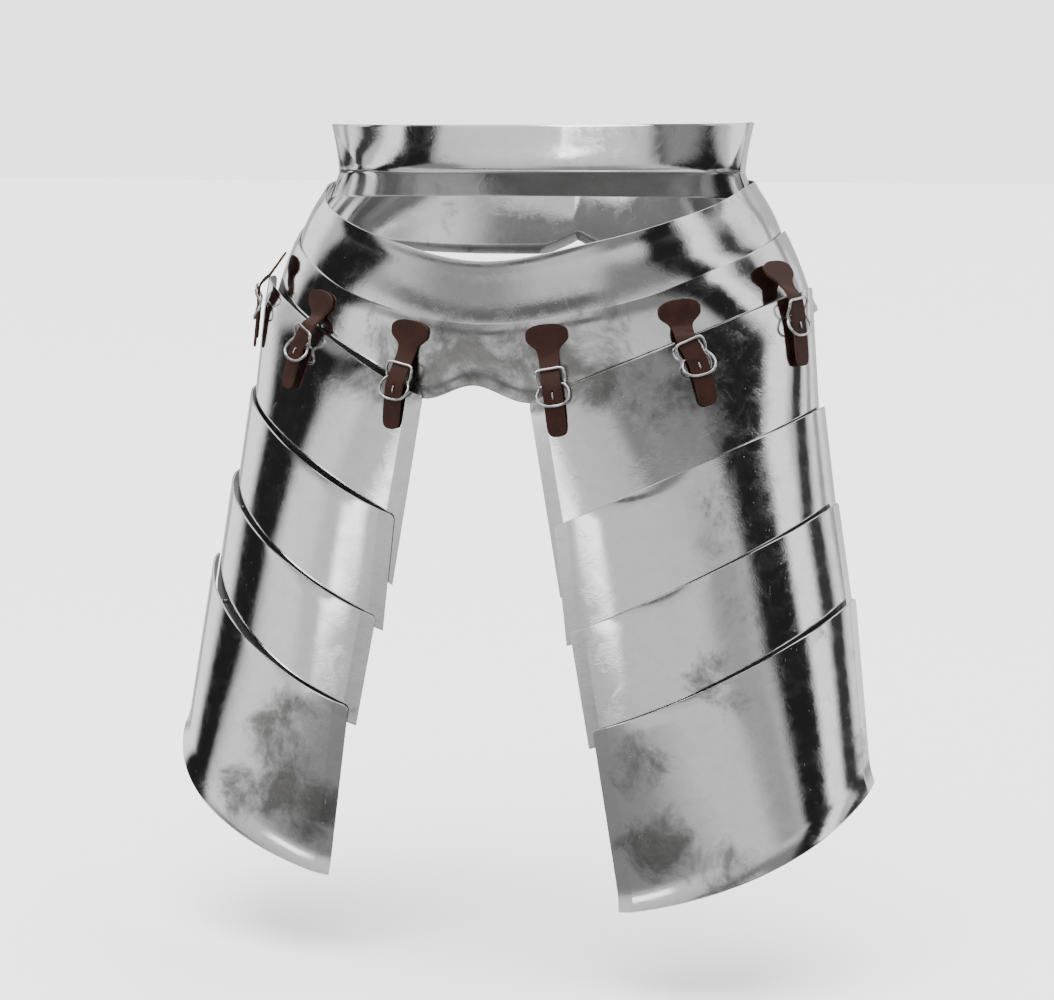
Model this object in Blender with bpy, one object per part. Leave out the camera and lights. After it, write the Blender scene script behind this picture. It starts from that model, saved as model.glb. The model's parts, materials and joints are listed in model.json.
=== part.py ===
"""Waist armour in polished sheet steel: a back collar, two hip hoops and a pair of
four-plate tassets, hung on six buckled leather straps.

The armour faces -Y, +Z is up, and the origin lies inside the waistline, in the plane
of the collar's crease. Lengths below are in millimetres and angles in degrees. An
angle around the body is 0 at the front and grows towards the wearer's left, +X.
"""

import math

import bpy
from mathutils import Vector
from mathutils.bvhtree import BVHTree

MM = 0.001

# Sheet steel.
SHEET = 1.6
LIP_HEIGHT = 8.0
LIP_FLARE = 1.2
CORNER_RADIUS = 4.0

# The hoops are ovals around this line.
HOOP_CENTRE_Y = 12.0

# Back collar: each row is a level line, from its upper rim down to its lower edge.
COLLAR_END_ANGLE = 87.5
COLLAR_COLUMNS = 26
COLLAR_ROWS = [
    # height, half width, depth behind the centre line
    (40.4, 183.0, 108.0),
    (21.4, 179.2, 101.4),
    (7.9, 177.4, 96.6),
    (1.5, 177.0, 95.0),
    (-1.5, 177.4, 95.6),
    (-21.0, 185.5, 103.0),
]

# Edges of the hoops: plan sizes, then the height of the edge at each station.
HOOP_STATIONS = (0, 30, 60, 90, 150, 180)
RIM = {
    "half_width": 182.5,
    "front_depth": 123.5,
    "back_depth": 106.0,
    "lean": 0.0,
    "heights": (-66.5, -50.0, -27.5, -7.4, -7.0, -7.0),
}
HOOP_FOOT = {
    "half_width": 211.5,
    "front_depth": 135.6,
    "back_depth": 108.0,
    "lean": 0.01,
    "heights": (-128.0, -112.0, -84.0, -62.0, -71.5, -71.5),
}
HOOP_BULGE = {"front": 2.0, "side": 4.5, "back": 0.0}
HOOP_COLUMNS = 48
BACK_RIDGE = 2.0
BACK_RIDGE_HALF_WIDTH = 40.0
BACK_NOTCH_HEIGHT = 12.5
BACK_NOTCH_HALF_WIDTH = 32.0
BACK_FLANGE_HEIGHT = 9.5
BACK_FLANGE_FLARE = 2.5

APRON_STATIONS = (0, 11, 25, 40, 60, 95)
APRON_TOP = {
    "half_width": 210.5,
    "front_depth": 137.4,
    "back_depth": 110.0,
    "lean": 0.01,
    "heights": (-114.2, -112.0, -103.5, -91.0, -69.5, -45.0),
}
APRON_FOOT = {
    "half_width": 235.8,
    "front_depth": 140.3,
    "back_depth": 130.0,
    "lean": 0.025,
    "heights": (-161.8, -174.0, -169.0, -149.0, -125.0, -108.0),
}
APRON_BULGE = {"front": 0.5, "side": 2.0, "back": 2.0}
APRON_END_ANGLE = 95.5
APRON_COLUMNS = 36
APRON_FLANGE_HEIGHT = 12.0
APRON_FLANGE_FLARE = 2.0

# Tasset plates. Each edge is an oval about (centre_x, TASSET_CENTRE_Y), cut by a
# slanted plane: height at the front of the oval, then its rise outwards and backwards.
TASSET_CENTRE_Y = -5.0
TASSET_EDGES = {
    # centre_x, half_width, depth, lean, height, rise_x, rise_y, inner, outer
    "lame_1_top": (54.5, 182.5, 124.2, 0.060, -169.0, 0.416, 0.036, 1.0, 87.0),
    "lame_1_foot": (100.4, 146.5, 129.2, 0.022, -305.4, 0.720, 0.020, -7.3, 87.0),
    "lame_2_top": (99.0, 150.9, 134.0, 0.035, -254.5, 0.458, 0.020, -8.7, 88.0),
    "lame_2_foot": (113.8, 149.3, 134.8, 0.015, -347.0, 0.467, 0.071, -9.7, 85.0),
    "lame_3_top": (116.0, 151.0, 139.0, 0.020, -336.0, 0.467, 0.071, -9.0, 80.0),
    "lame_3_foot": (127.0, 156.0, 140.5, 0.016, -431.0, 0.430, 0.170, -6.0, 78.0),
    "lame_4_top": (129.0, 157.5, 145.0, 0.016, -416.0, 0.407, 0.182, -5.0, 76.0),
    "lame_4_foot": (160.5, 148.0, 140.0, -0.020, -562.0, 0.324, 0.406, -8.0, 70.0),
}
EDGE_COLUMNS = (
    "centre_x",
    "half_width",
    "depth",
    "lean",
    "height",
    "rise_x",
    "rise_y",
    "inner",
    "outer",
)
LAME_COLUMNS = 18
STRIP_WIDTH = 12.5
STRIP_BEND = 8.0
LAST_FLANGE_HEIGHT = 14.0
LAST_FLANGE_FLARE = 2.5

# Leather straps. The points are on a strap's underside, from its head to its tail, and
# facing is the direction that its face looks in.
LEATHER = 2.0
STRAP_LENGTH = 86.0
STRAPS = {
    "front": {
        "facing": 9.0,
        "points": [
            (56.1, -121.1, -113.4),
            (58.8, -122.1, -136.3),
            (64.3, -131.4, -158.4),
            (66.2, -132.8, -166.2),
            (70.0, -132.0, -198.9),
        ],
    },
    "middle": {
        "facing": 31.0,
        "points": [
            (150.4, -83.3, -94.8),
            (154.2, -84.7, -115.4),
            (159.6, -91.8, -123.6),
            (170.9, -92.7, -144.5),
            (179.4, -93.9, -174.6),
        ],
    },
    "side": {
        "facing": 66.0,
        "points": [
            (210.9, -26.7, -67.8),
            (223.4, -32.2, -86.0),
            (231.2, -36.2, -95.8),
            (234.3, -34.3, -115.8),
            (238.0, -35.0, -147.6),
        ],
    },
}
STRAP_OUTLINE = [
    # distance along the strap, half width
    (0.0, 4.8),
    (0.8, 9.4),
    (2.3, 13.2),
    (4.5, 15.9),
    (6.8, 16.6),
    (11.2, 16.4),
    (13.6, 14.9),
    (16.0, 12.2),
    (18.2, 9.8),
    (20.6, 8.6),
    (25.0, 8.0),
    (31.0, 7.7),
    (37.0, 7.6),
    (43.0, 7.6),
    (49.0, 7.6),
    (55.0, 7.6),
    (61.0, 7.6),
    (68.0, 7.6),
    (75.0, 7.5),
    (80.5, 7.2),
    (83.6, 6.1),
    (85.2, 4.4),
    (STRAP_LENGTH, 2.2),
]

# Buckles. Along is counted from the centre bar, towards the strap's tail.
CENTRE_BAR_AT = 47.0
WIRE_RADIUS = 1.15
BAR_RADIUS = 1.0
WIRE_SIDES = 8
GAP = 0.3
BUCKLE_OUTLINE = [
    # half width, along
    (3.5, -11.5),
    (7.6, -11.5),
    (10.2, -10.6),
    (11.4, -8.4),
    (11.5, -5.0),
    (10.7, -2.0),
    (10.0, 0.0),
    (10.8, 2.2),
    (12.3, 4.8),
    (12.8, 7.8),
    (11.9, 11.0),
    (9.0, 13.8),
    (5.0, 15.2),
    (1.8, 15.5),
]
BUCKLE_UPPER_REACH = 11.5
BUCKLE_LOWER_REACH = 15.5

PRONG_RADIUS = 0.65
PRONG_SIDES = 8
PRONG_PATH = [
    # along from the centre bar, height above the strap's underside
    (1.8, -0.97),
    (4.2, -0.97),
    (5.0, 0.1),
    (5.6, 1.6),
    (6.3, 2.7),
    (7.3, 3.0),
    (11.6, 3.0),
]
SLOT = {"start": 3.4, "end": 7.4, "half_width": 1.15}

# A tab on the first lame holds the centre bar from behind, forked round the prong.
CHAPE = {"start": 1.5, "end": 31.0, "half_width": 6.0, "low": -1.3, "high": -0.3}
FORK = {"end": 8.4, "half_width": 1.6}

# Posts that join overlapping plates out of sight. Each stands below the upper edge of
# the outer plate, at an angle around the body or at a share of the way round a tasset.
POST_RADIUS = 2.0
POST_SIDES = 10
POST_GAP = 0.6
COLLAR_POST = {"angle": 112.0, "below": 8.0}
HIP_POST = {"angle": 82.0, "below": 8.5}
LAME_POSTS = [
    # number of the outer lame, post, share, below
    (2, "a", 0.22, 20.0),
    (2, "b", 0.72, 14.0),
    (3, "a", 0.18, 5.5),
    (3, "b", 0.72, 5.5),
    (4, "a", 0.18, 7.0),
    (4, "b", 0.72, 7.0),
]

STEEL = {
    "finish": "polished_steel",
    "colour": (0.72, 0.72, 0.72, 1.0),
    "roughness": 0.14,
    "metallic": 1.0,
}
WIRE_STEEL = {
    "finish": "wire_steel",
    "colour": (0.66, 0.66, 0.64, 1.0),
    "roughness": 0.25,
    "metallic": 1.0,
}
BROWN_LEATHER = {
    "finish": "brown_leather",
    "colour": (0.07, 0.03, 0.025, 1.0),
    "roughness": 0.6,
    "metallic": 0.0,
}


def blend(a, b, share):
    return a + (b - a) * share


def through(stations, values, at, level_ends=True):
    """Reads a smooth curve through numbers or points, one for each station."""
    last = len(stations) - 1
    slopes = [values[0] * 0.0] * len(stations)
    if not level_ends:
        slopes[0] = (values[1] - values[0]) / (stations[1] - stations[0])
        slopes[last] = (values[last] - values[last - 1]) / (stations[last] - stations[last - 1])
    for k in range(1, last):
        slopes[k] = (values[k + 1] - values[k - 1]) / (stations[k + 1] - stations[k - 1])
    k = max(i for i in range(last) if at >= stations[i] or i == 0)
    width = stations[k + 1] - stations[k]
    t = min(max((at - stations[k]) / width, 0.0), 1.0)
    value = values[k] * (1 + 2 * t) * (1 - t) ** 2 + values[k + 1] * t * t * (3 - 2 * t)
    return value + width * (slopes[k] * t * (1 - t) ** 2 - slopes[k + 1] * t * t * (1 - t))


def oval(half_width, depth, lean, angle):
    """A point of an oval about the origin. Lean flattens its diagonals."""
    a = math.radians(angle)
    x = half_width * (math.sin(a) - lean * math.sin(3 * a)) / (1 + lean)
    y = -depth * (math.cos(a) + lean * math.cos(3 * a)) / (1 + lean)
    return Vector((x, y, 0.0))


def oval_tangent(half_width, depth, lean, angle):
    a = math.radians(angle)
    x = half_width * (math.cos(a) - 3 * lean * math.cos(3 * a))
    y = depth * (math.sin(a) + 3 * lean * math.sin(3 * a))
    return Vector((x, y, 0.0)).normalized()


def outward(tangent):
    """The level normal of a plan curve that runs towards +X at the front."""
    return Vector((tangent.y, -tangent.x, 0.0))


def lip_flare(distance):
    """How far a plate's upper edge stands out, this far below it."""
    return LIP_FLARE * max(0.0, 1 - distance / LIP_HEIGHT) ** 2


def corner_drop(distance):
    """How much a rounded corner takes off an edge, this far from the corner."""
    short = max(0.0, CORNER_RADIUS - distance)
    return CORNER_RADIUS - math.sqrt(CORNER_RADIUS**2 - short**2)


def material(name, look):
    made = bpy.data.materials.new(name)
    made.use_nodes = True
    shader = made.node_tree.nodes["Principled BSDF"]
    shader.inputs["Base Color"].default_value = look["colour"]
    shader.inputs["Roughness"].default_value = look["roughness"]
    shader.inputs["Metallic"].default_value = look["metallic"]
    made.diffuse_color = look["colour"]
    return made


def solid(name, points, faces, look):
    """An object made of points in millimetres."""
    data = bpy.data.meshes.new(name)
    data.from_pydata([point * MM for point in points], [], faces)
    data.validate()
    data.materials.append(material(name + "_" + look["finish"], look))
    piece = bpy.data.objects.new(name, data)
    bpy.context.scene.collection.objects.link(piece)
    return piece


def sheet(name, rows, thickness, look, closed=False):
    """A sheet whose outer face passes through rows of points, top row first."""
    count = len(rows[0])
    faces = []
    for row in range(len(rows) - 1):
        for i in range(count if closed else count - 1):
            j = (i + 1) % count
            upper = row * count
            lower = upper + count
            faces.append((upper + i, lower + i, lower + j, upper + j))
    piece = solid(name, [point for row in rows for point in row], faces, look)
    piece.data.shade_smooth()
    solidify = piece.modifiers.new("thickness", "SOLIDIFY")
    solidify.thickness = thickness * MM
    solidify.offset = -1.0
    solidify.use_even_offset = True
    return piece


def plate(name, rows, closed=False):
    return sheet(name, rows, SHEET, STEEL, closed)


def rod(name, points, radius, sides, reference, look, closed=False):
    """A round rod along a line of points. Reference is never parallel to the line."""
    rings = []
    last = len(points) - 1
    for k, point in enumerate(points):
        before = points[k - 1] if closed or k > 0 else point
        after = points[(k + 1) % len(points)] if closed or k < last else point
        along = (after - before).normalized()
        across = along.cross(reference).normalized()
        up = across.cross(along)
        ring = []
        for i in range(sides):
            turn = 2 * math.pi * i / sides
            ring.append(point + (across * math.cos(turn) + up * math.sin(turn)) * radius)
        rings.append(ring)
    faces = []
    for k in range(len(rings) if closed else last):
        start = k * sides
        following = (k + 1) % len(rings) * sides
        for i in range(sides):
            j = (i + 1) % sides
            faces.append((start + j, start + i, following + i, following + j))
    if not closed:
        faces.append(tuple(range(sides)))
        faces.append(tuple(last * sides + i for i in reversed(range(sides))))
    piece = solid(name, [point for ring in rings for point in ring], faces, look)
    piece.data.shade_smooth()
    return piece


def combine(piece, other, operation):
    """Joins another solid to a piece, or cuts it out of the piece."""
    other.hide_render = True
    other.display_type = "WIRE"
    boolean = piece.modifiers.new(other.name, "BOOLEAN")
    boolean.solver = "EXACT"
    boolean.operation = operation
    boolean.object = other


def back_collar():
    rows = []
    for height, half_width, depth in COLLAR_ROWS:
        row = []
        for i in range(COLLAR_COLUMNS):
            share = i / (COLLAR_COLUMNS - 1)
            angle = blend(COLLAR_END_ANGLE, 360 - COLLAR_END_ANGLE, share)
            point = oval(half_width, depth if 90 < angle < 270 else 123.5, 0.0, angle)
            row.append(point + Vector((0.0, HOOP_CENTRE_Y, height)))
        rows.append(row)
    return plate("back_collar", rows)


def hoop_edge(edge, stations, angle):
    """A point on a hoop's edge, and the outward direction there."""
    turn = abs((angle + 180) % 360 - 180)
    depth = edge["front_depth"] if turn <= 90 else edge["back_depth"]
    point = oval(edge["half_width"], depth, edge["lean"], angle)
    point.y += HOOP_CENTRE_Y
    point.z = through(stations, edge["heights"], turn)
    tangent = oval_tangent(edge["half_width"], depth, edge["lean"], angle)
    return point, outward(tangent)


def hoop_bulge(bulge, angle):
    end = bulge["front"] if math.cos(math.radians(angle)) > 0 else bulge["back"]
    return blend(bulge["side"], end, math.cos(math.radians(angle)) ** 2)


def hoop_column(top, foot, stations, bulge, angle, drops, notch, flange, ridge):
    """The points of one upright line of a hoop, from its upper edge down."""
    upper, out = hoop_edge(top, stations[0], angle)
    lower, _ = hoop_edge(foot, stations[1], angle)
    lower.z += notch
    length = (upper - lower).length
    flange_height, flange_flare = flange
    drop_top, drop_foot = drops
    first = drop_top
    last = length - drop_foot
    below = [0.0, LIP_HEIGHT * 0.35, LIP_HEIGHT]
    above = [flange_height, flange_height * 0.5, 0.0] if flange_height else [0.0]
    middle = 0.5 * (first + LIP_HEIGHT + last - above[0])
    marks = [first + d for d in below] + [middle] + [last - d for d in above]
    column = []
    for mark in marks:
        share = mark / length
        out_by = 4 * hoop_bulge(bulge, angle) * share * (1 - share) + ridge
        out_by += lip_flare(mark - first)
        if flange_height:
            out_by += flange_flare * max(0.0, 1 - (last - mark) / flange_height)
        column.append(upper.lerp(lower, share) + out * out_by)
    return column


def waist_hoop():
    columns = []
    for i in range(HOOP_COLUMNS):
        angle = 360 * i / HOOP_COLUMNS
        off_back = abs(oval(HOOP_FOOT["half_width"], 1.0, 0.0, angle).x)
        behind = math.cos(math.radians(angle)) < 0
        notch = max(0.0, 1 - off_back / BACK_NOTCH_HALF_WIDTH) if behind else 0.0
        ridge = max(0.0, 1 - off_back / BACK_RIDGE_HALF_WIDTH) if behind else 0.0
        share = max(0.0, -math.cos(math.radians(angle))) ** 0.5
        columns.append(
            hoop_column(
                RIM,
                HOOP_FOOT,
                (HOOP_STATIONS, HOOP_STATIONS),
                HOOP_BULGE,
                angle,
                (0.0, 0.0),
                BACK_NOTCH_HEIGHT * notch**1.3,
                (BACK_FLANGE_HEIGHT, BACK_FLANGE_FLARE * share),
                BACK_RIDGE * ridge**2,
            )
        )
    rows = [list(row) for row in zip(*columns)]
    return plate("waist_hoop", rows, closed=True)


def apron_angles():
    """Angles of the apron's columns, with three close together in each end's corner."""
    corner = math.degrees(CORNER_RADIUS / APRON_FOOT["half_width"])
    inside = APRON_END_ANGLE - corner
    count = APRON_COLUMNS - 5
    even = [blend(-inside, inside, i / count) for i in range(count + 1)]
    ends = [APRON_END_ANGLE - corner * share for share in (0.0, 0.3)]
    return [-a for a in ends] + even + ends[::-1]


def hip_apron():
    columns = []
    for angle in apron_angles():
        from_end = math.radians(APRON_END_ANGLE - abs(angle)) * APRON_FOOT["half_width"]
        drop = corner_drop(from_end)
        columns.append(
            hoop_column(
                APRON_TOP,
                APRON_FOOT,
                (APRON_STATIONS, APRON_STATIONS),
                APRON_BULGE,
                angle,
                (drop, drop),
                0.0,
                (APRON_FLANGE_HEIGHT, APRON_FLANGE_FLARE),
                0.0,
            )
        )
    rows = [list(row) for row in zip(*columns)]
    return plate("hip_apron", rows)


def tasset_edge_point(edge, share, beyond):
    """A point on a tasset plate's edge and the outward direction there.

    Share runs from the inner crease to the outer one. Beyond is the distance past the
    nearer crease, on the flat strip that is bent back along each upright side.
    """
    angle = blend(edge["inner"], edge["outer"], share)
    plan = (edge["half_width"], edge["depth"], edge["lean"])
    point = oval(*plan, angle)
    tangent = oval_tangent(*plan, angle)
    if beyond:
        side = -1 if share < 0.5 else 1
        turn = math.radians(STRIP_BEND) * side
        tangent = Vector(
            (
                tangent.x * math.cos(turn) - tangent.y * math.sin(turn),
                tangent.x * math.sin(turn) + tangent.y * math.cos(turn),
                0.0,
            )
        )
        point += tangent * beyond * side
    rise = edge["rise_x"] * point.x + edge["rise_y"] * (point.y + edge["depth"])
    point += Vector((edge["centre_x"], TASSET_CENTRE_Y, edge["height"] + rise))
    return point, outward(tangent)


def lame_columns():
    """(share, beyond, distance from the plate's side) for each column of a lame."""
    strip = [0.0, 0.3 * CORNER_RADIUS, CORNER_RADIUS]
    inner = [(0.0, STRIP_WIDTH - d, d) for d in strip]
    outer = [(1.0, STRIP_WIDTH - d, d) for d in reversed(strip)]
    curve = [(i / LAME_COLUMNS, 0.0, STRIP_WIDTH) for i in range(LAME_COLUMNS + 1)]
    return inner + curve + outer


def lame(name, number, side):
    top = dict(zip(EDGE_COLUMNS, TASSET_EDGES[f"lame_{number}_top"]))
    foot = dict(zip(EDGE_COLUMNS, TASSET_EDGES[f"lame_{number}_foot"]))
    flange = LAST_FLANGE_HEIGHT if number == 4 else 0.0
    columns = []
    for share, beyond, from_side in lame_columns():
        upper, out = tasset_edge_point(top, share, beyond)
        lower, _ = tasset_edge_point(foot, share, beyond)
        length = (upper - lower).length
        first = corner_drop(from_side)
        marks = [first, first + 0.35 * LIP_HEIGHT, first + LIP_HEIGHT]
        marks.append(0.5 * (marks[-1] + length - flange))
        marks += [length - flange, length] if flange else [length]
        column = []
        for mark in marks:
            flare = lip_flare(mark - first)
            if flange:
                flare += LAST_FLANGE_FLARE * max(0.0, 1 - (length - mark) / flange)
            point = upper.lerp(lower, mark / length) + out * flare
            column.append(Vector((point.x * side, point.y, point.z)))
        columns.append(column)
    if side < 0:
        columns.reverse()
    return plate(name, [list(row) for row in zip(*columns)])


def strap_frame(strap, distance):
    """The point on a strap's underside there, and its across, along and out directions."""
    points = [Vector(point) for point in STRAPS[strap]["points"]]
    stations = [0.0]
    for start, end in zip(points, points[1:]):
        stations.append(stations[-1] + (end - start).length)
    stations = [s / stations[-1] * STRAP_LENGTH for s in stations]
    here = through(stations, points, distance, level_ends=False)
    ahead = through(stations, points, min(distance + 1.0, STRAP_LENGTH), level_ends=False)
    behind = through(stations, points, max(distance - 1.0, 0.0), level_ends=False)
    along = (ahead - behind).normalized()
    facing = math.radians(STRAPS[strap]["facing"])
    out = Vector((math.sin(facing), -math.cos(facing), 0.0))
    across = out.cross(along).normalized()
    return here, across, along, along.cross(across)


def on_strap(strap, side, across_by, distance, height):
    """A point given by where it is on a strap. Side is -1 on the wearer's right."""
    here, across, _, out = strap_frame(strap, distance)
    point = here + across * across_by + out * height
    return Vector((point.x * side, point.y, point.z))


def block(name, strap, side, span, half_width, heights, look):
    """A block on a strap's line, in slices so that it follows the line's curve."""
    slices = 5
    points = []
    faces = []
    for k in range(slices + 1):
        distance = CENTRE_BAR_AT + blend(span[0], span[1], k / slices)
        for across_by, height in (
            (-half_width, heights[0]),
            (half_width, heights[0]),
            (half_width, heights[1]),
            (-half_width, heights[1]),
        ):
            points.append(on_strap(strap, side, across_by, distance, height))
    for k in range(slices):
        for i in range(4):
            j = (i + 1) % 4
            faces.append((4 * k + i, 4 * k + j, 4 * k + 4 + j, 4 * k + 4 + i))
    faces.append((3, 2, 1, 0))
    faces.append(tuple(4 * slices + i for i in range(4)))
    if side < 0:
        faces = [face[::-1] for face in faces]
    return solid(name, points, faces, look)


def leather_strap(name, strap, side):
    rows = []
    for distance, half_width in STRAP_OUTLINE:
        columns = (-half_width * side, half_width * side)
        rows.append([on_strap(strap, side, c, distance, LEATHER) for c in columns])
    piece = sheet(name, rows, LEATHER, BROWN_LEATHER)
    span = (SLOT["start"], SLOT["end"])
    heights = (-LEATHER, 2 * LEATHER)
    cutter = block(
        name + "_slot", strap, side, span, SLOT["half_width"], heights, BROWN_LEATHER
    )
    combine(piece, cutter, "DIFFERENCE")


def buckle(name, strap, side):
    """A bent wire frame with a centre bar. The strap passes under its two ends."""
    low = -GAP - BAR_RADIUS
    high = LEATHER + GAP + WIRE_RADIUS
    half = []
    for half_width, along in BUCKLE_OUTLINE:
        reach = BUCKLE_LOWER_REACH if along > 0 else BUCKLE_UPPER_REACH
        share = min(abs(along) / (0.9 * reach), 1.0)
        height = blend(low, high, share * share * (3 - 2 * share))
        half.append((half_width, CENTRE_BAR_AT + along, height))
    loop = half + [(-across_by, along, height) for across_by, along, height in half[::-1]]
    _, _, _, out = strap_frame(strap, CENTRE_BAR_AT)
    out = Vector((out.x * side, out.y, out.z))
    points = [on_strap(strap, side, *place) for place in loop]
    frame = rod(name, points, WIRE_RADIUS, WIRE_SIDES, out, WIRE_STEEL, closed=True)
    ends = [on_strap(strap, side, x, CENTRE_BAR_AT, low) for x in (-10.0, 10.0)]
    bar = rod(name + "_bar", ends, BAR_RADIUS, WIRE_SIDES, out, WIRE_STEEL)
    combine(frame, bar, "UNION")


def prong(name, strap, side):
    _, across, _, _ = strap_frame(strap, CENTRE_BAR_AT)
    across = Vector((across.x * side, across.y, across.z))
    points = [
        on_strap(strap, side, 0.0, CENTRE_BAR_AT + along, height)
        for along, height in PRONG_PATH
    ]
    rod(name, points, PRONG_RADIUS, PRONG_SIDES, across, WIRE_STEEL)


def chape(name, strap, side):
    span = (CHAPE["start"], CHAPE["end"])
    heights = (CHAPE["low"], CHAPE["high"])
    piece = block(
        name, strap, side, span, CHAPE["half_width"], heights, BROWN_LEATHER
    )
    span = (CHAPE["start"] - 2.0, FORK["end"])
    heights = (CHAPE["low"] - 2.0, CHAPE["high"] + 2.0)
    cutter = block(
        name + "_fork", strap, side, span, FORK["half_width"], heights, BROWN_LEATHER
    )
    combine(piece, cutter, "DIFFERENCE")


def surface(name):
    graph = bpy.context.evaluated_depsgraph_get()
    return BVHTree.FromObject(bpy.data.objects[name], graph)


def post(name, inner, outer, anchor, out):
    """A round post across the gap between two plates, square to the inner one.

    The anchor is a point of the outer plate, and out is its outward direction.
    """
    foot, square, _, _ = surface(inner).ray_cast(anchor * MM, -out)
    head, _, _, _ = surface(outer).ray_cast(foot, square)
    start = foot / MM + square * POST_GAP
    end = head / MM - square * POST_GAP
    up = Vector((0.0, 0.0, 1.0))
    rod(name, [start, end], POST_RADIUS, POST_SIDES, up, STEEL)


def hoop_post(name, inner, outer, place, top, stations, side):
    anchor, out = hoop_edge(top, stations, place["angle"] * side)
    anchor.z -= place["below"]
    post(name, inner, outer, anchor, out)


def lame_post(word, side, number, mark, share, below):
    top = dict(zip(EDGE_COLUMNS, TASSET_EDGES[f"lame_{number}_top"]))
    anchor, out = tasset_edge_point(top, share, 0.0)
    anchor = Vector((anchor.x * side, anchor.y, anchor.z - below))
    out = Vector((out.x * side, out.y, 0.0))
    inner = f"{word}_tasset_lame_{number - 1}"
    outer = f"{word}_tasset_lame_{number}"
    post(f"{word}_lame_post_{number - 1}{mark}", inner, outer, anchor, out)


def main():
    for leftover in list(bpy.data.objects):
        bpy.data.objects.remove(leftover)
    back_collar()
    waist_hoop()
    hip_apron()
    for word, side in (("right", -1), ("left", 1)):
        for number in (1, 2, 3, 4):
            lame(f"{word}_tasset_lame_{number}", number, side)
        for strap in STRAPS:
            leather_strap(f"{word}_{strap}_strap", strap, side)
            buckle(f"{word}_{strap}_buckle", strap, side)
            prong(f"{word}_{strap}_prong", strap, side)
            chape(f"{word}_{strap}_chape", strap, side)
        hoop_post(
            f"{word}_collar_post",
            "back_collar",
            "waist_hoop",
            COLLAR_POST,
            RIM,
            HOOP_STATIONS,
            side,
        )
        hoop_post(
            f"{word}_hip_post",
            "waist_hoop",
            "hip_apron",
            HIP_POST,
            APRON_TOP,
            APRON_STATIONS,
            side,
        )
        for row in LAME_POSTS:
            lame_post(word, side, *row)


main()
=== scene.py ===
"""Waist armour in polished steel: the looks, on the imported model's frame."""

import json
import math

import bpy
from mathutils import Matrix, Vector

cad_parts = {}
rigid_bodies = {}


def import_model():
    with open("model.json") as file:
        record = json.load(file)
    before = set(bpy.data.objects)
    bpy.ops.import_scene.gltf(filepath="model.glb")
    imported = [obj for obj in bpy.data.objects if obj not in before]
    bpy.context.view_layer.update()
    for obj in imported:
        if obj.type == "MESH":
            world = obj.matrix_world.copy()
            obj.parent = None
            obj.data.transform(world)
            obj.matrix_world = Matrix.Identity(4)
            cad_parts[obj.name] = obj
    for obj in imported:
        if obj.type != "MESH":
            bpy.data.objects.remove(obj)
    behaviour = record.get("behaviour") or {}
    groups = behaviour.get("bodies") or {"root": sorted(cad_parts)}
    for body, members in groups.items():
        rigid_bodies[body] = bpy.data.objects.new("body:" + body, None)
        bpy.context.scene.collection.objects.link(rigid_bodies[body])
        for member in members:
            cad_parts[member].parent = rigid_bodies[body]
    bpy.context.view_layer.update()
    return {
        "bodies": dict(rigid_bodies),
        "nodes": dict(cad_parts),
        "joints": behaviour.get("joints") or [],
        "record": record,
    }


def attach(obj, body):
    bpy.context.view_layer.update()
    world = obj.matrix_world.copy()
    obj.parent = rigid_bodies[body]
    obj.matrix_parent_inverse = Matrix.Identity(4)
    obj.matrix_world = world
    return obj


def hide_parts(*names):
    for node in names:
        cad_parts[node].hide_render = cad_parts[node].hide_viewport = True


MM = 0.001

# Places of a plate's finishes, and of the colour sockets on a Mix node.
INNER_FINISH = 1
EDGE_FINISH = 2
MIX_SHARE = 0
MIX_FIRST = 6
MIX_SECOND = 7
MIX_COLOUR = 2

# The camera stands in front, a little to the wearer's left, and looks slightly down.
CAMERA_AT = (595.88, -1646.256, 19.325)
CAMERA_AZIMUTH = 20.0
CAMERA_ELEVATION = 9.4776
CAMERA_LENS = 71.768
FLOOR_HEIGHT = -640.0

# Sheet steel, as in the solids.
SHEET = 1.6

# How far an edge turns out in a lip or in at a tuck, and over what height. Grows and fades
# are shares of a lame's width, from its inner side to its outer side.
RIM_LIP_HEIGHT = 12.0
RIM_LIP_FLARE = 1.5
HOOP_FOOT_TUCK_HEIGHT = 11.0
HOOP_FOOT_TUCK = 1.6
TUCK_HEIGHT = 13.0
APRON_TUCK = 1.1
APRON_SIDE_TUCK_SHARE = 0.3
LAME_TUCK = 1.3
TUCK_GROWS = (0.02, 0.26)
TUCK_FADES = (0.30, 0.47)

# The first lame turns in further, down to the apron, most of all on the wearer's right.
FIRST_TUCK_HEIGHT = 26.0
FIRST_TUCK_SHARES = (0.0, 0.12, 0.3, 0.6, 0.8, 0.95, 1.0)
FIRST_TUCKS = (0.0, 0.6, 3.5, 3.9, 4.2, 1.5, 0.0)
FIRST_TUCK_SIDES = {"right": 1.0, "left": 0.3}

# Rounded corners, the distances from a side of the columns in them, and rounded edges.
CORNER_RADIUS = 4.0
CORNER_MARKS = (0.0, 0.15, 0.4, 0.8, 1.3, 2.0, 2.9)
EDGE_ROUNDING = 0.55
ROUNDED_ANGLE = 50.0
ROUNDING_STEPS = 3

# How far down a lip or a foot the levels of a plate lie, as shares of its height.
EDGE_LEVELS = (0.0, 0.05, 0.13, 0.22, 0.34, 0.46, 0.6, 0.73, 0.87, 1.0)

HOOP_CENTRE_Y = 12.0

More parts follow.
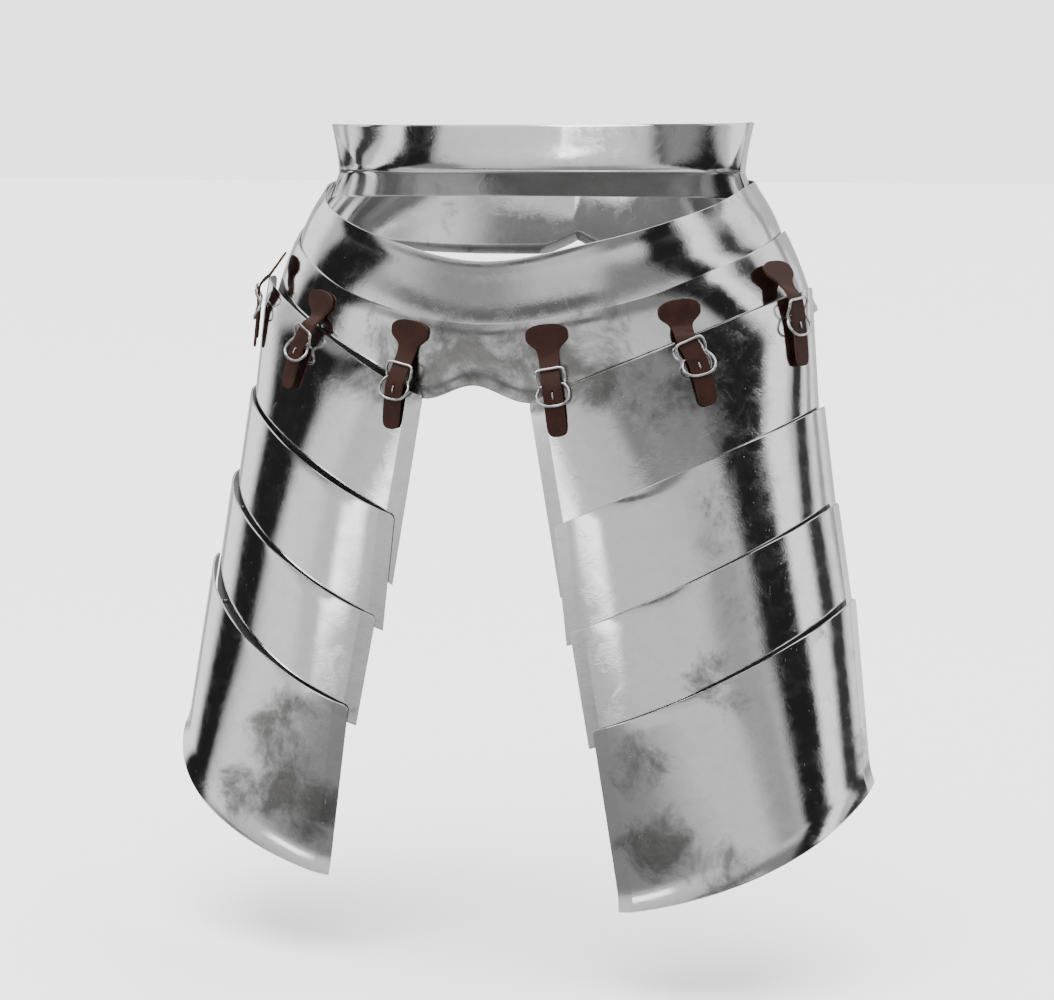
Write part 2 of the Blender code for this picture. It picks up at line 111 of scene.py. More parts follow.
COLLAR_END_ANGLE = 87.5
COLLAR_END_DEPTH = 123.5
COLLAR_COLUMNS = 150
COLLAR_ROWS = [
    # height, half width, depth behind the centre line
    (40.4, 183.0, 108.0),
    (21.4, 179.2, 101.4),
    (7.9, 177.4, 96.6),
    (1.5, 177.0, 95.0),
    (-1.5, 177.4, 95.6),
    (-21.0, 185.5, 103.0),
]
COLLAR_STEPS = (8, 6, 5, 5, 10)

HOOP_STATIONS = (0, 30, 60, 90, 150, 180)
RIM = {
    "half_width": 182.5,
    "front_depth": 123.5,
    "back_depth": 106.0,
    "lean": 0.0,
    "heights": (-66.5, -50.0, -27.5, -7.4, -7.0, -7.0),
}
HOOP_FOOT = {
    "half_width": 211.5,
    "front_depth": 135.6,
    "back_depth": 108.0,
    "lean": 0.01,
    "heights": (-128.0, -112.0, -84.0, -62.0, -71.5, -71.5),
}
HOOP_BULGE = {"front": 2.0, "side": 4.5, "back": 0.0}
HOOP_COLUMNS = 288
HOOP_LEVELS = 10
BACK_RIDGE = 2.0
BACK_RIDGE_HALF_WIDTH = 40.0
BACK_NOTCH_HEIGHT = 12.5
BACK_NOTCH_HALF_WIDTH = 32.0
BACK_NOTCH_SHARPNESS = 1.3
BACK_FLANGE_HEIGHT = 9.5
BACK_FLANGE_FLARE = 2.5

APRON_STATIONS = (0, 11, 25, 40, 60, 95)
APRON_TOP = {
    "half_width": 210.5,
    "front_depth": 137.4,
    "back_depth": 110.0,
    "lean": 0.01,
    "heights": (-114.2, -112.0, -103.5, -91.0, -69.5, -45.0),
}
APRON_FOOT = {
    "half_width": 235.8,
    "front_depth": 140.3,
    "back_depth": 130.0,
    "lean": 0.025,
    "heights": (-161.8, -174.0, -169.0, -149.0, -125.0, -108.0),
}
APRON_BULGE = {"front": 0.5, "side": 2.0, "back": 2.0}
APRON_END_ANGLE = 95.5
APRON_COLUMNS = 216
APRON_FLANGE_HEIGHT = 15.0
APRON_FLANGE_FLARE = 2.6
APRON_RIDGE = 0.6
APRON_RIDGE_HALF_WIDTH = 45.0

TASSET_CENTRE_Y = -5.0
TASSET_EDGES = {
    # centre_x, half_width, depth, lean, height, rise_x, rise_y, inner, outer
    "lame_1_top": (54.5, 182.5, 124.2, 0.060, -169.0, 0.416, 0.036, 1.0, 87.0),
    "lame_1_foot": (100.4, 146.5, 129.2, 0.022, -305.4, 0.720, 0.020, -7.3, 87.0),
    "lame_2_top": (99.0, 150.9, 134.0, 0.035, -254.5, 0.458, 0.020, -8.7, 88.0),
    "lame_2_foot": (113.8, 149.3, 134.8, 0.015, -347.0, 0.467, 0.071, -9.7, 85.0),
    "lame_3_top": (116.0, 151.0, 139.0, 0.020, -336.0, 0.467, 0.071, -9.0, 80.0),
    "lame_3_foot": (127.0, 156.0, 140.5, 0.016, -431.0, 0.430, 0.170, -6.0, 78.0),
    "lame_4_top": (129.0, 157.5, 145.0, 0.016, -416.0, 0.407, 0.182, -5.0, 76.0),
    "lame_4_foot": (160.5, 148.0, 140.0, -0.020, -562.0, 0.324, 0.406, -8.0, 70.0),
}
EDGE_COLUMNS = (
    "centre_x",
    "half_width",
    "depth",
    "lean",
    "height",
    "rise_x",
    "rise_y",
    "inner",
    "outer",
)
LAMES = (1, 2, 3, 4)
LAME_COLUMNS = 90
LAME_LEVELS = 18

# The flat strip down each side of a lame, and its columns, in distance from the side.
STRIP_WIDTH = 12.5
STRIP_BEND = 8.0
STRIP_MARKS = CORNER_MARKS + (4.0, 6.0, 8.0, 10.0, 11.9)
BEND_MARKS = (0.0, 0.25, 0.5)
LAST_FLANGE_HEIGHT = 20.0
LAST_FLANGE_FLARE = 3.1

LEATHER = 2.0
STRAP_LENGTH = 86.0

# The wearer's left straps, which the right ones mirror. Facing is where a strap's face
# looks, in degrees from -Y, and the points run down the middle of its underside.
STRAPS = {
    "front": {
        "facing": 9.0,
        "points": [
            (56.1, -121.1, -113.4),
            (58.8, -122.1, -136.3),
            (64.3, -131.4, -158.4),
            (66.2, -132.8, -166.2),
            (70.0, -132.0, -198.9),
        ],
    },
    "middle": {
        "facing": 31.0,
        "points": [
            (150.4, -83.3, -94.8),
            (154.2, -84.7, -115.4),
            (159.6, -91.8, -123.6),
            (170.9, -92.7, -144.5),
            (179.4, -93.9, -174.6),
        ],
    },
    "side": {
        "facing": 66.0,
        "points": [
            (210.9, -26.7, -67.8),
            (223.4, -32.2, -86.0),
            (231.2, -36.2, -95.8),
            (234.3, -34.3, -115.8),
            (238.0, -35.0, -147.6),
        ],
    },
}
STRAP_OUTLINE = [
    # distance along the strap, half width
    (0.0, 4.8),
    (0.8, 9.4),
    (2.3, 13.2),
    (4.5, 15.9),
    (6.8, 16.6),
    (11.2, 16.4),
    (13.6, 14.9),
    (16.0, 12.2),
    (18.2, 9.8),
    (20.6, 8.6),
    (25.0, 8.0),
    (31.0, 7.7),
    (37.0, 7.6),
    (43.0, 7.6),
    (61.0, 7.6),
    (68.0, 7.6),
    (75.0, 7.5),
    (80.5, 7.2),
    (83.6, 6.1),
    (85.2, 4.4),
    (STRAP_LENGTH, 2.2),
]
LEATHER_ROUNDING = 0.4
STRAP_ROW = 1.0
STRAP_COLUMNS = 12
STRAP_HEAD_MARKS = (0.0, 0.25, 0.5, 0.8, 1.2, 1.7, 2.3, 3.0, 3.8)
STRAP_BODY = (4.6, 82.5)
STRAP_TIP_MARKS = (82.6, 83.4, 84.1, 84.7, 85.2, 85.6, 85.85, STRAP_LENGTH)

CENTRE_BAR_AT = 47.0
WIRE_RADIUS = 1.1
BAR_RADIUS = 1.0
GAP = 0.3
BUCKLE_OUTLINE = [
    # half width, along
    (3.5, -11.5),
    (7.6, -11.5),
    (10.2, -10.6),
    (11.4, -8.4),
    (11.5, -5.0),
    (10.7, -2.0),
    (10.0, 0.0),
    (10.8, 2.2),
    (12.3, 4.8),
    (12.8, 7.8),
    (11.9, 11.0),
    (9.0, 13.8),
    (5.0, 15.2),
    (1.8, 15.5),
]
BUCKLE_UPPER_REACH = 11.5
BUCKLE_LOWER_REACH = 15.5
BUCKLE_RISE_ENDS = 0.9
BAR_HALF_LENGTH = 10.0
BAR_STEPS = 20
WIRE_STEPS = 5
WIRE_SIDES = 20

PRONG_RADIUS = 0.65
PRONG_PATH = [
    # along from the centre bar, height above the strap's underside
    (1.8, -0.97),
    (4.5, -0.97),
    (5.2, 0.1),
    (5.6, 1.4),
    (6.2, 2.4),
    (7.1, 2.75),
    (10.8, 2.75),
]
PRONG_POINT = (0.45, 0.75, 0.92)
PRONG_SIDES = 12
PRONG_STEPS = 6
SLOT = {"start": 4.3, "end": 7.3, "half_width": 0.85}
SLOT_ROWS = 4
SLOT_NEEDS = 4.0
HAIR = 0.01

# Dark tone, light tone and roughness of the leather.
FACE_DYE = ((0.044, 0.0145, 0.0095, 1.0), (0.068, 0.025, 0.017, 1.0), 0.42)
EDGE_DYE = ((0.075, 0.032, 0.022, 1.0), (0.12, 0.058, 0.042, 1.0), 0.55)

SCRATCH_STRETCH = 0.035
SCRATCH_EDGE = 0.03

# Darker patches on the plates: partly real clouding of the polish, partly painted shade where the
# plates' reflections look darker.
STAINS_AND_SHADE = [
    # plate, x, y, z, reach, depth of the darkening
    ("left lame 1, inner", 118, -115, -156, 24, 0.55),
    ("left lame 1, middle", 150, -104, -172, 36, 0.8),
    ("left lame 1, outer", 184, -88, -190, 26, 0.6),
    ("left lame 2", 190, -112, -262, 54, 0.55),
    ("left lame 3", 212, -110, -318, 44, 0.5),
    ("left lame 4, upper", 205, -130, -388, 46, 0.6),
    ("left lame 4, inner", 140, -149, -452, 38, 0.8),
    ("left lame 4, lower inner", 157, -146, -512, 40, 1.0),
    ("left lame 4, lower middle", 205, -140, -528, 40, 0.85),
    ("right lame 4, upper", -165, -143, -455, 56, 0.9),
    ("right lame 4, lower", -152, -147, -508, 52, 1.0),
    ("right lame 4, outer", -212, -138, -510, 38, 0.85),
    ("right lame 1", -132, -113, -181, 26, 0.35),
    ("hip apron, right", -88, -118, -128, 42, 0.4),
    ("hip apron, left", 92, -110, -113, 38, 0.85),
    ("waist hoop, right", -84, -110, -92, 34, 0.3),
]

# Shares of its reach, from a dark patch's middle, where it is gone and where it is deepest.
DARK_PATCH_ENDS = 1.3
DARK_PATCH_DEEPEST = 0.3

# The dull polish and painted shade low on the front of the hoops: where it begins, and where it is
# full.
HAZE_AND_SHADE_FRONT = (-75.0, -125.0)
HAZE_AND_SHADE_BELOW_RIM = (-85.0, -135.0)
HAZE_AND_SHADE_ABOVE_FOOT = (-205.0, -165.0)

# The studio around the armour. Azimuth is 0 towards -Y and grows towards +X, and both
# angles are in degrees. Strength is brightness in the middle of a panel; a dark one is a
# flag. Each panel covers what the rows above it have made. From its from height up to
# LEAN_ENDS a panel leans by its slant, in degrees for each degree up.
SKY = [
    # elevation, brightness
    (-60.0, 0.50),
    (-26.0, 0.26),
    (-20.0, 0.32),
    (-15.0, 0.66),
    (-11.0, 0.88),
    (-2.0, 0.88),
    (6.0, 0.76),
    (14.0, 0.74),
    (22.0, 0.74),
    (30.0, 0.90),
    (45.0, 1.40),
    (80.0, 2.40),
]
PANELS = [
    # name, azimuth, slant, from, half width, elevation, half height, softness, strength
    ("front_shade", -12.0, 0.0, 0.0, 42.0, 12.0, 3.2, 0.5, 0.15),
    ("front_haze", -26.0, 0.0, 0.0, 14.0, 20.0, 6.0, 0.6, 0.36),
    ("low_glow", -23.5, 0.0, 0.0, 10.0, -8.5, 3.0, 0.4, 3.0),
    ("near_left", -63.0, 0.0, 0.0, 13.0, -3.0, 10.0, 0.4, 1.2),
    ("left_flag", -102.0, 0.95, -12.0, 15.0, 0.0, 90.0, 0.3, 0.02),
    ("collar_light", -67.0, 0.0, 0.0, 12.0, 31.0, 8.0, 0.4, 0.3),
    ("left_box", -126.5, 0.3, -12.0, 17.0, 0.0, 90.0, 0.35, 1.6),
    ("left_streak", -134.0, 0.0, 0.0, 5.0, 0.0, 90.0, 0.6, 0.6),
    ("back_left_flag", -152.0, 0.0, 0.0, 6.0, 0.0, 90.0, 0.5, 0.12),
    ("near_right", 33.0, 0.0, 0.0, 16.0, 20.0, 8.0, 0.4, 0.27),
    ("right_fade", 50.0, 0.0, 0.0, 9.0, -1.0, 5.0, 0.6, 0.45),
    ("right_flag", 73.0, -1.3, 4.0, 11.5, 4.0, 46.0, 0.35, 0.02),
    ("right_box", 91.0, -1.25, 4.0, 7.0, 4.0, 44.0, 0.4, 1.6),
    ("right_flag_two", 108.0, -1.9, 13.0, 7.5, 4.0, 44.0, 0.4, 0.05),
    ("right_box_two", 134.0, -1.4, 13.0, 16.0, 4.0, 60.0, 0.4, 1.4),
    ("right_streak", 132.0, 0.0, 0.0, 5.0, 4.0, 60.0, 0.6, 0.5),
]
LEAN_ENDS = 26.0
BACKDROP = 2.6

# The key light and the floor, in metres, watts and degrees.
KEY_LIGHT = {
    "place": (-1.2, -1.6, 2.6),
    "target": (0.0, 0.0, -0.3),
    "size": (1.6, 1.6),
    "power": 30.0,
}
FLOOR_SUN = 9.0
FLOOR_SUN_SPREAD = 60.0
FLOOR_HALF_WIDTH = 40.0


def blend(a, b, share):
    return a + (b - a) * share


def eased(value, low, high):
    """0 up to low, 1 from high on, and a smooth step between them."""
    share = min(max((value - low) / (high - low), 0.0), 1.0)
    return share * share * (3 - 2 * share)


def through(stations, values, at, level_ends=True):
    """Reads a smooth curve through numbers or points, one for each station."""
    last = len(stations) - 1
    slopes = [values[0] * 0.0] * len(stations)
    if not level_ends:
        slopes[0] = (values[1] - values[0]) / (stations[1] - stations[0])
        slopes[last] = (values[last] - values[last - 1]) / (stations[last] - stations[last - 1])
    for k in range(1, last):
        slopes[k] = (values[k + 1] - values[k - 1]) / (stations[k + 1] - stations[k - 1])
    k = max(i for i in range(last) if at >= stations[i] or i == 0)
    width = stations[k + 1] - stations[k]
    t = min(max((at - stations[k]) / width, 0.0), 1.0)
    value = values[k] * (1 + 2 * t) * (1 - t) ** 2 + values[k + 1] * t * t * (3 - 2 * t)
    return value + width * (slopes[k] * t * (1 - t) ** 2 - slopes[k + 1] * t * t * (1 - t))


def oval(half_width, depth, lean, angle):
    """A point of an oval about the origin. Lean flattens its diagonals."""
    a = math.radians(angle)
    x = half_width * (math.sin(a) - lean * math.sin(3 * a)) / (1 + lean)
    y = -depth * (math.cos(a) + lean * math.cos(3 * a)) / (1 + lean)
    return Vector((x, y, 0.0))


def oval_tangent(half_width, depth, lean, angle):
    a = math.radians(angle)
    x = half_width * (math.cos(a) - 3 * lean * math.cos(3 * a))
    y = depth * (math.sin(a) + 3 * lean * math.sin(3 * a))
    return Vector((x, y, 0.0)).normalized()


def outward(tangent):
    """The level normal of a plan curve that runs towards +X at the front."""
    return Vector((tangent.y, -tangent.x, 0.0))


def roll(distance, height, reach):
    """How far out a rolled edge stands, this far from it. A tucked edge is less than 0."""
    return reach * max(0.0, 1 - distance / height) ** 2


def corner_drop(distance):
    """How much a rounded corner takes off an edge, this far from the corner."""
    short = max(0.0, CORNER_RADIUS - distance)
    return CORNER_RADIUS - math.sqrt(CORNER_RADIUS**2 - short**2)


def solid(name, points, faces, finish, slot, *nodes):
    """An object made of points in millimetres, which stands for the named nodes."""
    data = bpy.data.meshes.new(name)
    data.from_pydata([point * MM for point in points], [], faces)
    data.validate()
    data.materials.append(finish)
    data.shade_smooth()
    piece = bpy.data.objects.new(name, data)
    bpy.context.scene.collection.objects.link(piece)
    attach(piece, "root")
    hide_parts(*nodes)
    return piece


def grid_faces(rows, count, closed, holes=()):
    faces = []
    for row in range(rows - 1):
        for i in range(count if closed else count - 1):
            if (row, i) in holes:
                continue
            j = (i + 1) % count
            upper = row * count
            lower = upper + count
            faces.append((upper + i, lower + i, lower + j, upper + j))
    return faces


def sheet(name, rows, thickness, rounding, finishes, slot, closed=False, holes=()):
    """A sheet with rounded edges, whose outer face passes through rows of points.

    Its finishes are for the outer face, the inner face and the cut edge.
    """
    count = len(rows[0])
    faces = grid_faces(len(rows), count, closed, holes)
    points = [point for row in rows for point in row]
    outer, inner, edge = finishes
    piece = solid(name, points, faces, outer, slot, name)
    piece.data.materials.append(inner)
    piece.data.materials.append(edge)
    thicken = piece.modifiers.new("thickness", "SOLIDIFY")
    thicken.material_offset = INNER_FINISH
    thicken.material_offset_rim = EDGE_FINISH
    thicken.thickness = thickness * MM
    thicken.offset = -1.0
    thicken.use_even_offset = True
    rounded = piece.modifiers.new("rounding", "BEVEL")
    rounded.width = rounding * MM
    rounded.segments = ROUNDING_STEPS
    rounded.limit_method = "ANGLE"
    rounded.angle_limit = math.radians(ROUNDED_ANGLE)
    rounded.harden_normals = False
    rounded.use_clamp_overlap = True
    return piece


def plate(name, rows, finish, closed=False):
    """A steel plate. Its finish is a pair, for the outer face and the inner face."""
    outer, inner = finish
    return sheet(name, rows, SHEET, EDGE_ROUNDING, (outer, inner, outer), "polished_steel", closed)


def back_collar(finish):
    stations = [-row[0] for row in COLLAR_ROWS]
    widths = [row[1] for row in COLLAR_ROWS]
    depths = [row[2] for row in COLLAR_ROWS]
    levels = []
    for k, steps in enumerate(COLLAR_STEPS):
        levels += [blend(stations[k], stations[k + 1], i / steps) for i in range(steps)]
    levels.append(stations[-1])
    rows = []
    for level in levels:
        half_width = through(stations, widths, level, level_ends=False)
        depth = through(stations, depths, level, level_ends=False)
        row = []
        for i in range(COLLAR_COLUMNS + 1):
            share = i / COLLAR_COLUMNS
            angle = blend(COLLAR_END_ANGLE, 360 - COLLAR_END_ANGLE, share)
            behind = 90 < angle < 270
            point = oval(half_width, depth if behind else COLLAR_END_DEPTH, 0.0, angle)
            row.append(point + Vector((0.0, HOOP_CENTRE_Y, -level)))
        rows.append(row)
    plate("back_collar", rows, finish)


def hoop_edge(edge, stations, angle):
    """A point on a hoop's edge, and the outward direction there."""
    turn = abs((angle + 180) % 360 - 180)
    depth = edge["front_depth"] if turn <= 90 else edge["back_depth"]
    point = oval(edge["half_width"], depth, edge["lean"], angle)
    point.y += HOOP_CENTRE_Y
    point.z = through(stations, edge["heights"], turn)
    tangent = oval_tangent(edge["half_width"], depth, edge["lean"], angle)
    return point, outward(tangent)


def hoop_bulge(bulge, angle):
    end = bulge["front"] if math.cos(math.radians(angle)) > 0 else bulge["back"]
    return blend(bulge["side"], end, math.cos(math.radians(angle)) ** 2)


def hoop_column(hoop, angle, drop, lip, foot, ridge, notch=0.0):
    """The points of one upright line of a hoop, from its upper edge down."""
    top, bottom, stations, bulge = hoop
    upper, out = hoop_edge(top, stations, angle)
    lower, _ = hoop_edge(bottom, stations, angle)
    lower.z += notch
    length = (upper - lower).length
    last = length - drop
    column = []
    for mark in level_marks(drop, last, lip[0], foot[0], HOOP_LEVELS):
        share = mark / length
        out_by = 4 * hoop_bulge(bulge, angle) * share * (1 - share) + ridge
        out_by += roll(mark - drop, *lip) + roll(last - mark, *foot)
        column.append(upper.lerp(lower, share) + out * out_by)
    return column


def level_marks(first, last, lip, foot, steps):
    """The same number of distances down every column of a plate, closer at its edges."""
    upper = [first + lip * share for share in EDGE_LEVELS]
    lower = [last - foot * share for share in reversed(EDGE_LEVELS)]
    middle = [blend(upper[-1], lower[0], k / steps) for k in range(1, steps)]
    return upper + middle + lower


def waist_hoop(finish):
    hoop = (RIM, HOOP_FOOT, HOOP_STATIONS, HOOP_BULGE)
    columns = []
    for i in range(HOOP_COLUMNS):
        angle = 360 * i / HOOP_COLUMNS
        off_back = abs(oval(HOOP_FOOT["half_width"], 1.0, 0.0, angle).x)
        front = math.cos(math.radians(angle))
        notch = max(0.0, 1 - off_back / BACK_NOTCH_HALF_WIDTH) if front < 0 else 0.0
        ridge = max(0.0, 1 - off_back / BACK_RIDGE_HALF_WIDTH) if front < 0 else 0.0
        if front < 0:
            foot = (BACK_FLANGE_HEIGHT, BACK_FLANGE_FLARE * (-front) ** 0.5)
        else:
            foot = (HOOP_FOOT_TUCK_HEIGHT, -HOOP_FOOT_TUCK * min(1.0, 2 * front))
        lip = (RIM_LIP_HEIGHT, RIM_LIP_FLARE)
        raised = BACK_NOTCH_HEIGHT * notch**BACK_NOTCH_SHARPNESS
        columns.append(hoop_column(hoop, angle, 0.0, lip, foot, BACK_RIDGE * ridge**2, raised))
    plate("waist_hoop", [list(row) for row in zip(*columns)], finish, closed=True)


def apron_angles():
    """Angles of the apron's columns, close together in each end's corner."""
    per_mm = math.degrees(1 / APRON_FOOT["half_width"])
    inside = APRON_END_ANGLE - CORNER_RADIUS * per_mm
    even = [blend(-inside, inside, i / APRON_COLUMNS) for i in range(APRON_COLUMNS + 1)]
    ends = [APRON_END_ANGLE - mark * per_mm for mark in CORNER_MARKS]
    return [-a for a in ends] + even + ends[::-1]


def hip_apron(finish):
    hoop = (APRON_TOP, APRON_FOOT, APRON_STATIONS, APRON_BULGE)
    columns = []
    for angle in apron_angles():
        from_end = math.radians(APRON_END_ANGLE - abs(angle)) * APRON_FOOT["half_width"]
        off_front = abs(oval(APRON_FOOT["half_width"], 1.0, 0.0, angle).x)
        ridge = max(0.0, 1 - off_front / APRON_RIDGE_HALF_WIDTH)
        front = math.cos(math.radians(angle)) ** 2
        lip = (TUCK_HEIGHT, -APRON_TUCK * blend(APRON_SIDE_TUCK_SHARE, 1.0, front))
        foot = (APRON_FLANGE_HEIGHT, APRON_FLANGE_FLARE)
        drop = corner_drop(from_end)
        columns.append(hoop_column(hoop, angle, drop, lip, foot, APRON_RIDGE * ridge))
    plate("hip_apron", [list(row) for row in zip(*columns)], finish)


def tasset_edge_point(edge, share, beyond):
    """A point on a tasset plate's edge and the outward direction there."""
    angle = blend(edge["inner"], edge["outer"], share)
    plan = (edge["half_width"], edge["depth"], edge["lean"])
    point = oval(*plan, angle)
    tangent = oval_tangent(*plan, angle)
    if beyond:
        side = -1 if share < 0.5 else 1
        turn = math.radians(STRIP_BEND) * side
        tangent = Vector(
            (
                tangent.x * math.cos(turn) - tangent.y * math.sin(turn),
                tangent.x * math.sin(turn) + tangent.y * math.cos(turn),
                0.0,
            )
        )
        point += tangent * beyond * side
    rise = edge["rise_x"] * point.x + edge["rise_y"] * (point.y + edge["depth"])
    point += Vector((edge["centre_x"], TASSET_CENTRE_Y, edge["height"] + rise))
    return point, outward(tangent)


def lame_columns():
    """(share, beyond, distance from the plate's side) for each column of a lame."""
    inner = [(0.0, STRIP_WIDTH - mark, mark) for mark in STRIP_MARKS]
    outer = [(1.0, STRIP_WIDTH - mark, mark) for mark in reversed(STRIP_MARKS)]
    shares = [k / LAME_COLUMNS for k in BEND_MARKS]
    shares += [k / LAME_COLUMNS for k in range(1, LAME_COLUMNS)]
    shares += [1 - k / LAME_COLUMNS for k in reversed(BEND_MARKS)]
    return inner + [(share, 0.0, STRIP_WIDTH) for share in shares] + outer


def lame(word, number, side, finish):
    """One plate of a tasset, numbered from the top. Side is -1 on the wearer's right."""
    top = dict(zip(EDGE_COLUMNS, TASSET_EDGES[f"lame_{number}_top"]))
    foot = dict(zip(EDGE_COLUMNS, TASSET_EDGES[f"lame_{number}_foot"]))
    flare = LAST_FLANGE_FLARE if number == LAMES[-1] else 0.0
    columns = []
    for share, beyond, from_side in lame_columns():
        upper, out = tasset_edge_point(top, share, beyond)
        lower, _ = tasset_edge_point(foot, share, beyond)
        length = (upper - lower).length
        first = corner_drop(from_side)
        if number == LAMES[0]:
            height = FIRST_TUCK_HEIGHT
            tuck = FIRST_TUCK_SIDES[word] * through(FIRST_TUCK_SHARES, FIRST_TUCKS, share)
        else:
            height = TUCK_HEIGHT
            tuck = LAME_TUCK * eased(share, *TUCK_GROWS) * (1 - eased(share, *TUCK_FADES))
        column = []
        for mark in level_marks(first, length, height, LAST_FLANGE_HEIGHT, LAME_LEVELS):
            out_by = roll(length - mark, LAST_FLANGE_HEIGHT, flare)
            out_by -= roll(mark - first, height, tuck)
            point = upper.lerp(lower, mark / length) + out * out_by
            column.append(Vector((point.x * side, point.y, point.z)))
        columns.append(column)
    if side < 0:
        columns.reverse()
    plate(f"{word}_tasset_lame_{number}", [list(row) for row in zip(*columns)], finish)


def strap_frame(strap, distance):
    """The point on a strap's underside there, and its across, along and out directions."""
    points = [Vector(point) for point in STRAPS[strap]["points"]]
    stations = [0.0]
    for start, end in zip(points, points[1:]):
        stations.append(stations[-1] + (end - start).length)
    stations = [s / stations[-1] * STRAP_LENGTH for s in stations]
    here = through(stations, points, distance, level_ends=False)
    ahead = through(stations, points, min(distance + 1.0, STRAP_LENGTH), level_ends=False)
    behind = through(stations, points, max(distance - 1.0, 0.0), level_ends=False)
    along = (ahead - behind).normalized()
    facing = math.radians(STRAPS[strap]["facing"])
    out = Vector((math.sin(facing), -math.cos(facing), 0.0))
    across = out.cross(along).normalized()
    return here, across, along, along.cross(across)


def on_strap(strap, side, across_by, distance, height):
    """A point given by where it is on a strap. Side is -1 on the wearer's right."""
    here, across, _, out = strap_frame(strap, distance)
    point = here + across * across_by + out * height
    return Vector((point.x * side, point.y, point.z))


def strap_width(distance):
    stations = [row[0] for row in STRAP_OUTLINE]
    widths = [row[1] for row in STRAP_OUTLINE]
    return through(stations, widths, distance, level_ends=False)


def leather_strap(word, strap, side, finish):
    slot_start = CENTRE_BAR_AT + SLOT["start"]
    slot_end = CENTRE_BAR_AT + SLOT["end"]
    body_start, body_end = STRAP_BODY
    upper_rows = int((slot_start - body_start) / STRAP_ROW)
    following = slot_end + STRAP_ROW
    lower_rows = int((body_end - following) / STRAP_ROW)
    distances = list(STRAP_HEAD_MARKS)
    distances += [body_start + STRAP_ROW * k for k in range(upper_rows)]
    distances += [blend(slot_start, slot_end, k / SLOT_ROWS) for k in range(SLOT_ROWS + 1)]
    distances += [following + STRAP_ROW * k for k in range(lower_rows)]
    distances += STRAP_TIP_MARKS
    rows = []
    holes = set()
    for row, distance in enumerate(distances):
        half_width = strap_width(distance)
        shares = [k / STRAP_COLUMNS for k in range(STRAP_COLUMNS + 1)]
        columns = [blend(-half_width, half_width, share) for share in shares]
        middle = STRAP_COLUMNS // 2
        if half_width > SLOT_NEEDS:
            columns[middle - 1] = -SLOT["half_width"]
            columns[middle + 1] = SLOT["half_width"]
        if slot_start - HAIR <= distance < slot_end - HAIR:
            holes |= {(row, middle - 1), (row, middle)}
        rows.append([on_strap(strap, side, c * side, distance, LEATHER) for c in columns])
    name = f"{word}_{strap}_strap"
    top, edge = finish
    sheet(name, rows, LEATHER, LEATHER_ROUNDING, (top, top, edge), "brown_leather", holes=holes)


def smooth_path(points, steps, closed):
    """Points along a smooth curve through the given ones."""
    count = len(points)
    path = []
    spans = count if closed else count - 1
    for k in range(spans):
        a = points[(k - 1) % count] if closed or k > 0 else points[k]
        b = points[k]
        c = points[(k + 1) % count]
        d = points[(k + 2) % count] if closed or k + 2 < count else points[k + 1]
        for i in range(steps):
            t = i / steps
            bend = (c - a) * t + (a * 2 - b * 5 + c * 4 - d) * t**2
            bend += (b * 3 - a - c * 3 + d) * t**3
            path.append((b * 2 + bend) * 0.5)
    if not closed:
        path.append(points[-1])
    return path


def rod(points, radii, sides, reference, closed=False):
    """Points and faces of a round rod along a line, with a radius for each point."""
    rings = []
    last = len(points) - 1
    for k, point in enumerate(points):
        before = points[k - 1] if closed or k > 0 else point
        after = points[(k + 1) % len(points)] if closed or k < last else point
        along = (after - before).normalized()
        across = along.cross(reference).normalized()
        up = across.cross(along)
        ring = []
        for i in range(sides):
            turn = 2 * math.pi * i / sides
            ring.append(point + (across * math.cos(turn) + up * math.sin(turn)) * radii[k])
        rings.append(ring)
    faces = []
    for k in range(len(rings) if closed else last):
        start = k * sides
        following = (k + 1) % len(rings) * sides
        for i in range(sides):
            j = (i + 1) % sides
            faces.append((start + j, start + i, following + i, following + j))
    if not closed:
        faces.append(tuple(range(sides)))
        faces.append(tuple(last * sides + i for i in reversed(range(sides))))
    return [point for ring in rings for point in ring], faces


def buckle(word, strap, side, finish):
    """A bent wire frame with a centre bar. The strap passes under its two ends."""
    low = -GAP - BAR_RADIUS
    high = LEATHER + GAP + WIRE_RADIUS
    half = [Vector((w, along, 0.0)) for w, along in BUCKLE_OUTLINE]
    loop = half + [Vector((-p.x, p.y, 0.0)) for p in half[::-1]]
    places = []
    for place in smooth_path(loop, WIRE_STEPS, closed=True):
        reach = BUCKLE_LOWER_REACH if place.y > 0 else BUCKLE_UPPER_REACH
        height = blend(low, high, eased(abs(place.y), 0.0, BUCKLE_RISE_ENDS * reach))
        places.append((place.x, CENTRE_BAR_AT + place.y, height))
    _, _, _, out = strap_frame(strap, CENTRE_BAR_AT)
    out = Vector((out.x * side, out.y, out.z))
    points = [on_strap(strap, side, *place) for place in places]
    radii = [WIRE_RADIUS] * len(points)
    frame, faces = rod(points, radii, WIRE_SIDES, out, closed=True)
    places = [blend(-BAR_HALF_LENGTH, BAR_HALF_LENGTH, k / BAR_STEPS) for k in range(BAR_STEPS + 1)]
    line = [on_strap(strap, side, place, CENTRE_BAR_AT, low) for place in places]
    bar, bar_faces = rod(line, [BAR_RADIUS] * len(line), WIRE_SIDES, out)
    faces += [tuple(len(frame) + i for i in face) for face in bar_faces]
    name = f"{word}_{strap}_buckle"
    solid(name, frame + bar, faces, finish, "wire_steel", name)


